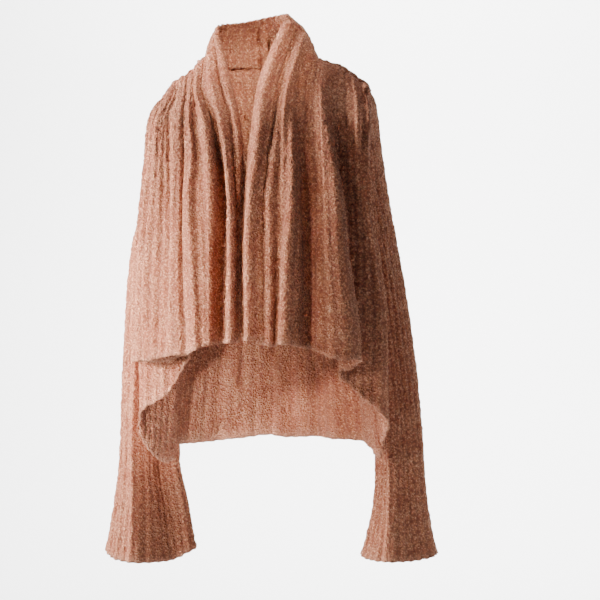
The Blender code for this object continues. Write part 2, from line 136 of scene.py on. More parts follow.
# %% The right front's fold lines
RIGHT_FRONT = (
    # name, top, across, hem, back
    ("edge", (-77, 85, -5), (-55, -44, -39, -43, -46, -47), (-47, -410), (8, 18, 19)),
    ("edge roll", (-82, 83, -2), (-64, -51, -46, -47, -48, -49), (-49, -410), (-3, 11, 12)),
    ("first valley", (-84, 74, 0), (-74, -59, -55, -52, -51, -52), (-52, -410), (4, 4, 5)),
    ("second roll", (-93, 62, 3), (-85, -72, -64, -58, -57, -58), (-58, -411), (-7, -9, -10)),
    ("deep valley", (-97, 50, 5), (-105, -89, -76, -67, -69, -72), (-72, -412), (8, 15, 16)),
    ("third roll", (-109, 38, 8), (-112, -99, -90, -86, -88, -91), (-91, -414), (-6, 4, 5)),
    ("shoulder valley", (-114, 30, 9), (-118, -116, -107, -104, -102, -101), (-101, -415), (5, 0, -1)),
    ("bright ridge", (-120, 24, 10), (-124, -126, -121, -127, -122, -118), (-114, -422), (-4, -9, -9)),
    ("groove", (-126, 20, 10), (-129, -134, -133, -134, -136, -139), (-131, -430), (3, 3, 3)),
    ("shoulder ridge", (-131, 16, 10), (-134, -141, -142, -144, -146, -150), (-147, -431), (-4, -4, -3)),
    ("shoulder groove", (-140, 10, 10), (-142, -157, -156, -155, -156, -162), (-165, -434), (3, 2, 2)),
    ("panel", (-148, 7, 10), (-156, -172, -175, -179, -186, -189), (-189, -440), (0, 0, 0)),
    ("turn front", 4, (-162, -182, -187, -194, -203, -207), (-205, -440), (10, 2, 3)),
    ("outer turn", 10, (-164, -188, -193, -200, -210, -214), (-212, -440), (18, 10, 12)),
    ("turn back", 18, (-164, -183, -188, -192, -203, -207), (-206, -441), (27, 22, 23)),
    ("second layer", 38, (-164, -174, -180, -181, -180, -163), (-163, -440), (23, 25, 27)),
    ("inner turn front", 56, (-164, -168, -174, -178, -168, -130), (-128, -428), (24, 28, 31)),
    ("inner turn", 64, (-164, -166, -170, -176, -165, -121), (-118, -427), (22, 33, 40)),
    ("inner turn back", 72, (-164, -166, -168, -174, -168, -130), (-128, -445), (22, 40, 48)),
    ("third layer", 90, (-164, -166, -166, -171, -174, -162), (-160, -494), (32, 42, 54)),
    ("side turn front", 108, (-164, -166, -160, -166, -184, -196), (-195, -517), (49, 42, 46)),
    ("side turn", 117, (-164, -166, -156, -159, -188, -203), (-202, -539), (58, 46, 52)),
    ("side turn back", 126, (-164, -166, -152, -152, -181, -197), (-197, -565), (66, 56, 65)),
    ("fourth layer", 140, (-160, -160, -150, -148, -162, -177), (-184, -585), (62, 74, 86)),
    ("under the arm", 158, (-150, -150, -150, -146, -144, -153), (-167, -599), (105, 103, 121)),
    ("beside the seam", 170, (-145, -145, -145, -142, -133, -138), (-156, -601), (125, 123, 144)),
    ("side seam", SEAM_ANGLE, (-140, -140, -140, -138, -132, -137), (-145, -597), (90, 126, 150)),
)
print("fold lines of the right front:", len(RIGHT_FRONT))

# %% [markdown]
# The left front shows a bright ridge, a dark plane beside it and one soft ridge before the arm.
# Both fronts have their rows closer together at the top, where the cloth turns over the shoulder.

# %% The left front's fold lines
LEFT_FRONT = (
    # name, top, across, hem, back
    ("edge", (29, 110, -5), (-15, -22, -29, -34, -37, -37), (-37, -408), (8, 12, 12)),
    ("first roll", (37, 107, -2), (-4, -11, -19, -27, -31, -30), (-30, -408), (-6, -8, -8)),
    ("first valley", (47, 93, 0), (16, 9, 0, -7, -8, -8), (-6, -411), (7, 10, 9)),
    ("split roll a", (54, 90, 2), (27, 19, 14, 6, 6, 3), (5, -416), (-5, -6, -6)),
    ("split groove", (58, 85, 3), (34, 27, 25, 22, 20, 11), (13, -418), (-6, 0, 2)),
    ("split roll b", (62, 75, 4), (40, 36, 37, 36, 30, 20), (24, -414), (-4, -9, -9)),
    ("wide valley a", (67, 63, 5), (48, 46, 51, 53, 56, 54), (53, -418), (5, 5, 5)),
    ("wide valley b", (76, 50, 6), (61, 61, 62, 67, 71, 72), (71, -421), (6, 14, 14)),
    ("ridge side", (83, 42, 8), (79, 81, 82, 84, 83, 84), (84, -426), (0, 2, 2)),
    ("bright ridge", (91, 39, 9), (88, 91, 94, 98, 101, 109), (107, -437), (-8, -12, -11)),
    ("outer turn", (100, 37, 10), (95, 99, 104, 113, 121, 138), (139, -439), (-1, 2, 3)),
    ("turn back", (105, 36, 10), (100, 103, 107, 113, 119, 131), (134, -453), (6, 14, 16)),
    ("inner turn", (111, 34, 10), (106, 108, 110, 111, 111, 114), (112, -459), (11, 23, 26)),
    ("inner turn back", (118, 30, 10), (113, 114, 116, 117, 118, 122), (118, -470), (14, 32, 36)),
    ("dark plane", (127, 22, 10), (129, 131, 132, 134, 135, 134), (132, -478), (13, 34, 42)),
    ("soft ridge", (137, 15, 10), (142, 146, 146, 148, 150, 144), (149, -496), (2, 28, 40)),
    ("outer plane", (147, 8, 10), (155, 156, 153, 156, 165, 170), (168, -510), (0, 24, 38)),
    ("side turn front", 5, (159, 162, 158, 162, 175, 187), (184, -525), (-2, 22, 30)),
    ("side turn", 15, (162, 167, 162, 166, 179, 192), (193, -539), (4, 28, 35)),
    ("side turn back", 28, (162, 164, 158, 160, 173, 184), (189, -555), (13, 42, 47)),
    ("fourth layer", 62, (150, 150, 141, 142, 149, 162), (182, -573), (-3, 70, 76)),
    ("under the arm", 105, (145, 145, 140, 137, 138, 149), (178, -596), (20, 84, 95)),
    ("beside the seam", 142, (141, 141, 141, 137, 134, 144), (170, -587), (60, 103, 116)),
    ("side seam", SEAM_ANGLE, (140, 140, 140, 140, 133, 143), (162, -570), (90, 126, 150)),
)
ROW_CROWDING = 1.7
print("fold lines of the left front:", len(LEFT_FRONT))

# %% [markdown]
# The back hangs from the shoulders nearly straight. Its sections come from a few heights,
# and its upper edge settles into them over the first rows, soonest at the two ends.

# %% The back's sections
SIDE_SEAM = (
    # height, reach, depth
    (-192, 140, 8),
    (-270, 134, 12),
    (-406, 142, 22),
    (-500, 152, 28),
    (-580, 160, 33),
)
BACK_FORM = (
    # height, middle, beside the middle, corner reach, corner depth
    (48, 82, 76, 126, 14),
    (0, 90, 82, 138, 42),
    (-54, 96, 90, 136, 77),
    (-110, 101, 97, 130, 87),
    (-182, 104, 100, 122, 76),
    (-270, 103, 98, 118, 62),
    (-406, 100, 95, 126, 62),
    (-580, 97, 91, 142, 66),
)
BACK_PLACES = (0.0, 0.12, 0.3, 0.5, 0.7, 0.88, 1.0)
BACK_LINES = 33
BACK_SETTLING_ROWS = 4.0
BACK_END_POWER = 4
BACK_DEPTH_POWER = 0.7
BACK_HEM = -566.0
BACK_HEM_CORNER = -578.0
BACK_HEM_PLACES = (0, 0.2, 0.8, 1)
ARMHOLE_ROWS = 8
SKIRT_ROWS = 4
print("the back's hem hangs at", BACK_HEM, "mm")

# %% [markdown]
# The collar stands round the back of the neck and runs into the two fronts. It bulges a little between
# its free edge and its seam, and its seam's row is tucked in and laps over the back's edge.

# %% The collar's stand
COLLAR_STAND = (
    # along, edge (x, y, z), neck seam (x, y, z)
    (0.00, (-78, -5, 86), (-115, 8, 38)),
    (0.14, (-87, 28, 103), (-112, 42, 43)),
    (0.30, (-67, 56, 109), (-82, 70, 46)),
    (0.46, (-36, 67, 116), (-38, 81, 48)),
    (0.60, (-7, 64, 121), (8, 81, 48)),
    (0.76, (17, 46, 121), (50, 68, 47)),
    (0.90, (29, 17, 115), (78, 38, 45)),
    (1.00, (31, -5, 110), (84, 8, 43)),
)
COLLAR_BULGE = 5.0
COLLAR_END = 0.22
COLLAR_BACK = 2.0
COLLAR_RISE = 1.5
COLLAR_TUCK = 3.8
COLLAR_LAP = 7.0
COLLAR_ROWS = 5
COLLAR_COLUMNS = 36
COLLAR_EDGE_LINES = {-1: 6, 1: 9}
COLLAR_MIDDLE = (-20.0, 20.0, 80.0)
print("the collar stands up to", max(row[1][2] for row in COLLAR_STAND), "mm")

# %% [markdown]
# The sleeves hang nearly straight and open into bell cuffs. The front of a cuff drops lower than its back.

# %% The sleeves' sections
RIGHT_SLEEVE = (
    # outer (across, height), inner (across, height), depth of the middle, half depth
    ((-171, -42), (-138, -199), 12, 58),
    ((-180, -88), (-138, -214), 18, 54),
    ((-188, -142), (-136, -245), 28, 50),
    ((-196, -198), (-133, -290), 40, 47),
    ((-213, -264), (-134, -342), 51, 45),
    ((-221, -360), (-138, -415), 62, 43),
    ((-227, -470), (-142, -492), 71, 42),
    ((-232, -598), (-144, -598), 75, 42),
    ((-240, -662), (-131, -662), 70, 44),
    ((-246, -705), (-124, -705), 64, 46),
    ((-253, -738), (-118, -738), 58, 47),
)
LEFT_SLEEVE = (
    # outer (across, height), inner (across, height), depth of the middle, half depth
    ((171, -34), (145, -199), 12, 59),
    ((176, -78), (147, -214), 17, 55),
    ((184, -134), (149, -245), 26, 51),
    ((195, -202), (152, -290), 38, 48),
    ((207, -264), (158, -342), 49, 45),
    ((229, -400), (168, -432), 62, 43),
    ((244, -540), (176, -545), 72, 41),
    ((248, -600), (177, -600), 75, 41),
    ((253, -662), (174, -662), 70, 43),
    ((259, -705), (167, -705), 64, 45),
    ((268, -748), (155, -748), 58, 47),
)
SLEEVE_ROWS = 12
SLEEVE_CROWDING = 1.35
SLEEVE_START = 4.0
SLEEVE_EASE = -4.0
CUFF_DROP = {-1: 20.0, 1: 8.0}
CUFF_START = 0.8
CUFF_SPAN = 0.2
print("sections of a sleeve:", len(RIGHT_SLEEVE))

# %% [markdown]
# Every line is a smooth curve that never swings past its knots, so a fold keeps its place.
# A plain cubic curve would be shorter to write, but it swings out between knots that lie close together.

# %% A smooth curve
def smooth_through(knots, values, at):
    """The smooth curve through values at increasing knots, which never swings past them."""
    knots = np.asarray(knots, float)
    values = np.asarray(values, float)
    at = np.atleast_1d(np.asarray(at, float))
    piece = np.clip(np.searchsorted(knots, at) - 1, 0, len(knots) - 2)
    shape = (-1,) + (1,) * (values.ndim - 1)
    chords = np.diff(values, axis=0) / np.diff(knots).reshape(shape)
    before = np.concatenate([chords[:1], chords])
    after = np.concatenate([chords, chords[-1:]])
    most = 3 * np.minimum(abs(before), abs(after)) * (before * after > 0)
    slopes = np.clip(np.gradient(values, knots, axis=0), -most, most)
    width = (knots[piece + 1] - knots[piece]).reshape(shape)
    part = ((at - knots[piece]) / width.reshape(-1)).reshape(shape)
    start = (2 * part**3 - 3 * part**2 + 1) * values[piece]
    leave = (part**3 - 2 * part**2 + part) * width * slopes[piece]
    end = (3 * part**2 - 2 * part**3) * values[piece + 1]
    arrive = (part**3 - part**2) * width * slopes[piece + 1]
    return start + leave + end + arrive

# %% [markdown]
# From what the eye sees to the garment's own places, and back. What lies nearer to the eye looks larger,
# so its measures are scaled down by how near it is. Tracing a drawing by hand from a camera view
# would do the same, but a function can be used again for every line.

# %% Places seen and places in the garment
def from_sight(across, height, depth):
    """The garment's own x, y, z of a point seen at a place and known to lie at this depth."""
    side = across - EYE_ACROSS
    top = EYE_DISTANCE * across + depth * (side * math.cos(TURN) - EYE_DISTANCE * math.sin(TURN))
    x = top / (EYE_DISTANCE * math.cos(TURN) + side * math.sin(TURN))
    nearer = x * math.sin(TURN) - depth * math.cos(TURN)
    z = EYE_HEIGHT + (height - EYE_HEIGHT) * (EYE_DISTANCE - nearer) / EYE_DISTANCE
    return np.stack([x, depth + 0.0 * x, z], axis=-1)


def to_sight(point):
    """Where the eye sees a point: (across, height)."""
    x, y, z = point
    nearer = x * math.sin(TURN) - y * math.cos(TURN)
    grow = EYE_DISTANCE / (EYE_DISTANCE - nearer)
    across = EYE_ACROSS + (x * math.cos(TURN) + y * math.sin(TURN) - EYE_ACROSS) * grow
    return across, EYE_HEIGHT + (z - EYE_HEIGHT) * grow

# %% [markdown]
# One fold line of a front leaves the seam at the top, rolls forward over the shoulder and then hangs.
# A knot of its table counts where it lies clear of the line's own top and hem.

# %% One fold line of a front
KNOT_UNDER_TOP = 14
KNOT_OVER_HEM = 25


def front_line(row, side, rows):
    """One fold line of a front, as a point for each row."""
    _, top, across, hem, back = row
    roll = SHOULDER_ROLL
    if not isinstance(top, tuple):
        corner = armhole(float(top), side)
        roll = SIDE_ROLL
        top = (*to_sight(corner), corner[1])
    first, last = top[1], hem[1]
    kept = [i for i, height in enumerate(HEIGHTS) if last + KNOT_OVER_HEM < height < first - KNOT_UNDER_TOP]
    knots = [-first] + [-HEIGHTS[i] for i in kept] + [-last]
    places = [top[0]] + [across[i] for i in kept] + [hem[0]]
    height = first + (last - first) * rows
    seen = smooth_through(knots, places, -height)
    drops, reaches, falls = np.array(FRONT_REACH).T
    reach = np.interp(-height, drops, reaches)
    fall = np.interp(-height, drops, falls)
    full = 1 - fall * ((seen - FRONT_MIDDLE) / FRONT_SIDE) ** 2
    hang = np.interp(-height, (*SET_BACK_HEIGHTS, -last), back) - reach * full
    lead = np.sqrt(1 - (1 - np.clip((first - height) / roll, 0, 1)) ** 2)
    depth = top[2] + (hang - top[2]) * lead
    return from_sight(seen, height, depth)


first_point = front_line(RIGHT_FRONT[0], -1, np.zeros(1))[0]
print("the right front's edge starts at", first_point.round(1).tolist())

# %% [markdown]
# A sheet is drawn through its fold lines, as cloth lies over strings. The ribs stay the same number
# from top to bottom, so they crowd together where the cloth is gathered. A skin over curves could give
# the form too, but a grid lets each rib keep its own columns all the way down.

# %% A sheet through its lines
def through_lines(lines, columns):
    """A grid of points, rows by columns, on the smooth sections through the given lines."""
    lines = np.asarray(lines)
    half = lines[:, lines.shape[1] // 2 :]
    steps = np.linalg.norm(np.diff(half, axis=0), axis=2).mean(axis=1)
    along = np.concatenate([[0], np.cumsum(steps)])
    places = np.linspace(0, along[-1], columns + 1)
    return np.stack([smooth_through(along, lines[:, row], places) for row in range(lines.shape[1])])


def line_length(lines):
    """How long a sheet's rows are in its lower half, in the mean."""
    lines = np.asarray(lines)
    half = lines[:, lines.shape[1] // 2 :]
    return np.linalg.norm(np.diff(half, axis=0), axis=2).mean(axis=1).sum()


def even_columns(length, pitch):
    """Two columns for each rib: one on its crest and one in the groove."""
    return 2 * round(length / pitch)


print("columns of a sheet 450 mm wide:", even_columns(450.0, BODY_RIB))

# %% [markdown]
# Fronts and back share the side seam under the arm. A front's last line runs down it to its own hem,
# and the tops of the lines before the armhole give the neck and shoulder seams.

# %% The seams
def side_seam(height, side):
    """The side seam's points below the underarm."""
    table = np.array(SIDE_SEAM, float)
    reach = smooth_through(-table[:, 0], table[:, 1], -height)
    depth = smooth_through(-table[:, 0], table[:, 2], -height)
    return np.stack([side * reach, depth, height + 0.0 * reach], axis=-1)


def front_seam_line(row, side, rows):
    """The last line of a front, down the side seam to the hem."""
    top = armhole(float(row[1]), side)
    hem = from_sight(float(row[3][0]), float(row[3][1]), SIDE_SEAM[-1][2])
    line = side_seam(top[2] + (hem[2] - top[2]) * rows, side)
    line[0] = top
    return line


def front_tops(table, side):
    """The tops of a front's lines that lie on the collar and shoulder seams."""
    return np.array([front_line(row, side, np.zeros(1))[0] for row in table if isinstance(row[1], tuple)])


def back_edge(side):
    """The back's edge: round the back of the armhole, then down the side seam."""
    ring = armhole(-np.linspace(0, SEAM_ANGLE, ARMHOLE_ROWS + 1), side)
    heights = np.linspace(ring[-1, 2], BACK_HEM_CORNER, SKIRT_ROWS + 1)[1:]
    return np.concatenate([ring, side_seam(heights, side)])


print("points on the back's edge:", len(back_edge(1)))

# %% [markdown]
# The back hangs from one line that follows the shoulder and neck seams. Each of its rows goes through
# seven places: its two edges, the two corners, beside the middle on both sides, and the middle.

# %% The back's form
def seam_along_top():
    """Shoulder and neck seams as one line, from the garment's left shoulder to the right one."""
    left = front_tops(LEFT_FRONT, 1)[COLLAR_EDGE_LINES[1] - 1 :]
    right = front_tops(RIGHT_FRONT, -1)[COLLAR_EDGE_LINES[-1] - 1 :]
    neck = np.array([row[2] for row in COLLAR_STAND[1:-1]], float)
    return np.concatenate([left[::-1], neck[::-1], right])


def back_grid():
    """The back's lines run from the shoulder and neck seams to the hem, its rows follow the armholes."""
    edges = {side: back_edge(side) for side in (1, -1)}
    top = np.concatenate([edges[1][:1], seam_along_top(), edges[-1][:1]])
    along = np.concatenate([[0], np.cumsum(np.linalg.norm(np.diff(top, axis=0), axis=1))])
    places = np.linspace(0, 1, BACK_LINES)
    first = smooth_through(along / along[-1], top, places)
    hem_heights = (BACK_HEM_CORNER, BACK_HEM, BACK_HEM, BACK_HEM_CORNER)
    hem = np.interp(places, BACK_HEM_PLACES, hem_heights)
    form = np.array(BACK_FORM, float)
    rows = []
    for row, (left, right) in enumerate(zip(edges[1], edges[-1])):
        drop = (edges[1][0, 2] - left[2]) / (edges[1][0, 2] - BACK_HEM_CORNER)
        heights = first[:, 2] + (hem - first[:, 2]) * drop
        middle, beside = smooth_through(-form[:, 0], form[:, 1:3], -heights[[BACK_LINES // 2]])[0]
        reach, depth = smooth_through(-form[:, 0], form[:, 3:], -left[2:])[0]
        x = (left[0], reach, 0.5 * reach, 0, -0.5 * reach, -reach, right[0])
        y = (left[1], depth, beside, middle, beside, depth, right[1])
        section = smooth_through(BACK_PLACES, np.transpose([x, y]), places)
        near_ends = min(row, 1) * abs(2 * places - 1) ** BACK_END_POWER
        settled = np.clip(row / BACK_SETTLING_ROWS + near_ends, 0, 1)
        line = first.copy()
        line[:, 0] += (section[:, 0] - first[:, 0]) * settled
        line[:, 1] += (section[:, 1] - first[:, 1]) * settled**BACK_DEPTH_POWER
        line[:, 2] = heights
        line[0], line[-1] = left, right
        rows.append(line)
    lines = np.swapaxes(np.array(rows), 0, 1) + np.array([0, 0.5 * SEAM_GAP, 0])
    return through_lines(lines, even_columns(line_length(lines), BODY_RIB))


print("rows and columns of the back's form:", back_grid().shape[:2])

# %% [markdown]
# The collar's ends follow the tops of the fronts' first fold lines, so that their rolls run into it.
# It could be one sheet with both fronts, but it has a seam of its own to the back, so it is a piece.

# %% The collar's form
def collar_ends():
    """For each side, the points on the front's top that the collar's rows end at."""
    share = np.linspace(0, 1, COLLAR_ROWS + 1)
    ends = {}
    for side, table in ((-1, RIGHT_FRONT), (1, LEFT_FRONT)):
        tops = front_tops(table, side)[: COLLAR_EDGE_LINES[side]]
        steps = np.concatenate([[0], np.cumsum(np.linalg.norm(np.diff(tops, axis=0), axis=1))])
        ends[side] = smooth_through(steps / steps[-1], tops, share)
    return ends


def collar_grid():
    """The collar's rows run from its free edge to the neck seam, its columns round the neck."""
    along = np.array([row[0] for row in COLLAR_STAND])
    places = np.linspace(0, 1, COLLAR_COLUMNS + 1)
    edge = smooth_through(along, [row[1] for row in COLLAR_STAND], places)
    seam = smooth_through(along, [row[2] for row in COLLAR_STAND], places)
    ends = collar_ends()
    middle = np.array(COLLAR_MIDDLE)
    grid = []
    for row, share in enumerate(np.linspace(0, 1, COLLAR_ROWS + 1)):
        line = edge + (seam - edge) * share
        bulge = line - middle
        bulge /= np.linalg.norm(bulge, axis=1)[:, None]
        line = line + bulge * COLLAR_BULGE * math.sin(math.pi * share)
        for side, where in ((-1, places), (1, 1 - places)):
            pull = np.clip(1 - where / COLLAR_END, 0, 1)[:, None] ** 2
            at_end = line[0] if side < 0 else line[-1]
            line = line + pull * (ends[side][row] + np.array([0, COLLAR_BACK, COLLAR_RISE]) - at_end)
        inwards = (middle - line) * (1, 1, 0)
        inwards *= COLLAR_TUCK / np.linalg.norm(inwards, axis=1)[:, None]
        grid.append(line + (inwards - (0, 0, COLLAR_LAP)) * share**2)
    return np.array(grid)


print("rows and columns of the collar's form:", collar_grid().shape[:2])

# %% [markdown]
# A sleeve is a tube of oval rings. Each ring goes through an outer and an inner place that are seen,
# and its middle and half depth come from the table. A cylinder could be bent and scaled instead,
# but its two edges would not follow the uneven edges of a sleeve that hangs.

# %% The sleeve's form
def sleeve_grid(table, side):
    """Rings from the armhole to the cuff; the seam of each ring is under the arm."""
    start = armhole(np.array([0.0, 180.0]), side, ease=SLEEVE_EASE)
    inwards = np.array([-side * SLEEVE_START, 0, 0])
    outer, inner = [start[0] + inwards, start[0]], [start[1] + inwards, start[1]]
    middle, half = [ARMHOLE_DEPTH] * 2, [ARMHOLE_HALF_WIDTH + SLEEVE_EASE] * 2
    for outside, inside, depth, half_depth in table:
        outer.append(from_sight(float(outside[0]), float(outside[1]), float(depth)))
        inner.append(from_sight(float(inside[0]), float(inside[1]), float(depth)))
        middle.append(depth)
        half.append(half_depth)
    outer, inner = np.array(outer), np.array(inner)
    centre = 0.5 * (outer + inner)
    steps = np.linalg.norm(np.diff(centre, axis=0), axis=1)
    along = np.concatenate([[0], np.cumsum(steps)])
    at = along[-1] * np.linspace(0, 1, SLEEVE_ROWS + 1) ** SLEEVE_CROWDING
    outer, inner = smooth_through(along, outer, at), smooth_through(along, inner, at)
    middle, half = smooth_through(along, middle, at), smooth_through(along, half, at)
    width = 0.5 * np.linalg.norm(outer - inner, axis=1)
    girth = (2 * np.pi * np.sqrt(0.5 * (width**2 + half**2))).mean()
    angles = np.linspace(-np.pi, np.pi, even_columns(girth, SLEEVE_RIB) + 1)
    cos, sin = np.cos(angles)[None, :, None], np.sin(angles)[None, :, None]
    grid = 0.5 * (outer + inner)[:, None] + 0.5 * (outer - inner)[:, None] * cos
    grid[..., 1] = middle[:, None] - half[:, None] * sin[..., 0]
    low = np.clip((at / at[-1] - CUFF_START) / CUFF_SPAN, 0, 1)[:, None] ** 2
    grid[..., 2] -= CUFF_DROP[side] * low * np.maximum(sin[..., 0], 0)
    return grid


print("rings and columns of a sleeve's form:", sleeve_grid(RIGHT_SLEEVE, -1).shape[:2])

# %% [markdown]
# The same sheets as the solids are drawn again here, with eight points to a rib and a row every
# few millimetres, because a rib has to look round and the looped yarn needs points to stand on.
# A front's upper edge is tucked back and down there, under the shoulder seam.

# %% The fine fronts
ROWS_FRONT = 150
POINTS_A_RIB = 8
TOP_TUCK = (0.0, 6.0, -2.0)
TOP_TUCK_DEPTH = 16.0


def front_sheet(table, side):
    """The points of a front, and its number of ribs."""
    rows = np.linspace(0, 1, ROWS_FRONT + 1) ** ROW_CROWDING
    lines = [front_line(row, side, rows) for row in table[:-1]]
    lines.append(front_seam_line(table[-1], side, rows))
    lines = [line - np.array([0, 0.5 * SEAM_GAP, 0]) for line in lines]
    ribs = even_columns(line_length(lines), BODY_RIB) // 2
    sheet = through_lines(lines, ribs * POINTS_A_RIB)
    under = np.clip(1 - np.linalg.norm(sheet - sheet[0], axis=2) / TOP_TUCK_DEPTH, 0, 1) ** 2
    return sheet + under[..., None] * np.array(TOP_TUCK), ribs


print("ribs of the right front:", front_sheet(RIGHT_FRONT, -1)[1])

# %% [markdown]
# Back, collar and sleeves take their rows between those of the coarse form, so that they keep
# to the same surface. The collar's free edge is rounded a little at its corners, as the knit there rolls.

# %% The fine back, collar and sleeves
ROWS_COLLAR = 34
ROWS_SLEEVE = 190
EDGE_ROUNDING = 150
EDGE_ROUNDING_ROWS = 14


def refined(grid, rows, columns):
    """A finer grid on the smooth surface through a coarser one."""
    down = smooth_through(np.arange(grid.shape[0]), grid, np.linspace(0, grid.shape[0] - 1, rows + 1))
    across = np.swapaxes(down, 0, 1)
    places = np.linspace(0, grid.shape[1] - 1, columns + 1)
    return np.swapaxes(smooth_through(np.arange(grid.shape[1]), across, places), 0, 1)


def refined_sheet(grid, rows):
    """The points of a sheet, and its number of ribs, from its coarse form."""
    ribs = (grid.shape[1] - 1) // 2
    return refined(grid, rows, ribs * POINTS_A_RIB), ribs


def sleeve_sheet(table, side):
    return refined_sheet(sleeve_grid(table, side), ROWS_SLEEVE)


def collar_sheet():
    sheet, ribs = refined_sheet(collar_grid(), ROWS_COLLAR)
    edge = sheet[0].copy()
    for _ in range(EDGE_ROUNDING):
        edge[1:-1] = 0.25 * (edge[:-2] + 2 * edge[1:-1] + edge[2:])
    fade = np.clip(1 - np.arange(ROWS_COLLAR + 1) / EDGE_ROUNDING_ROWS, 0, 1) ** 2
    return sheet + fade[:, None, None] * (edge - sheet[0])[None], ribs


print("ribs of the collar:", collar_sheet()[1])

# %% [markdown]
# Each sheet gets its outward direction at every point, smoothed between neighbours, so that
# the folds stay clean. A Displace modifier would use the mesh's own directions, which turn sharply
# in a deep fold, and the ribs would run into each other there.

# %% The outward direction
SMOOTHING_ROUNDS = 6
SAME_PLACE = 0.01
NO_LENGTH = 1e-9


def outward(grid):
    """The direction square to the sheet, at each point."""
    down, across = np.gradient(grid, axis=0), np.gradient(grid, axis=1)
    if np.allclose(grid[:, 0], grid[:, -1], atol=SAME_PLACE):
        joined = grid[:, 1] - grid[:, -2]
        across[:, 0] = across[:, -1] = joined
    normal = np.cross(across, -down)
    normal /= np.linalg.norm(normal, axis=2)[..., None] + NO_LENGTH
    return normal


def smoothed(values, times, joined=False):
    """Values of a grid averaged with their neighbours along the row and down the column."""
    for _ in range(times):
        if joined:
            ring = np.concatenate([values[:, -2:-1], values, values[:, 1:2]], axis=1)
            values = 0.25 * (ring[:, :-2] + 2 * ring[:, 1:-1] + ring[:, 2:])
        else:
            values[:, 1:-1] = 0.25 * (values[:, :-2] + 2 * values[:, 1:-1] + values[:, 2:])
        values[1:-1] = 0.25 * (values[:-2] + 2 * values[1:-1] + values[2:])
    return values


back_outward = outward(refined_sheet(back_grid(), ROWS_FRONT)[0])
print("the back faces, in the mean:", back_outward.mean(axis=(0, 1)).round(2).tolist())
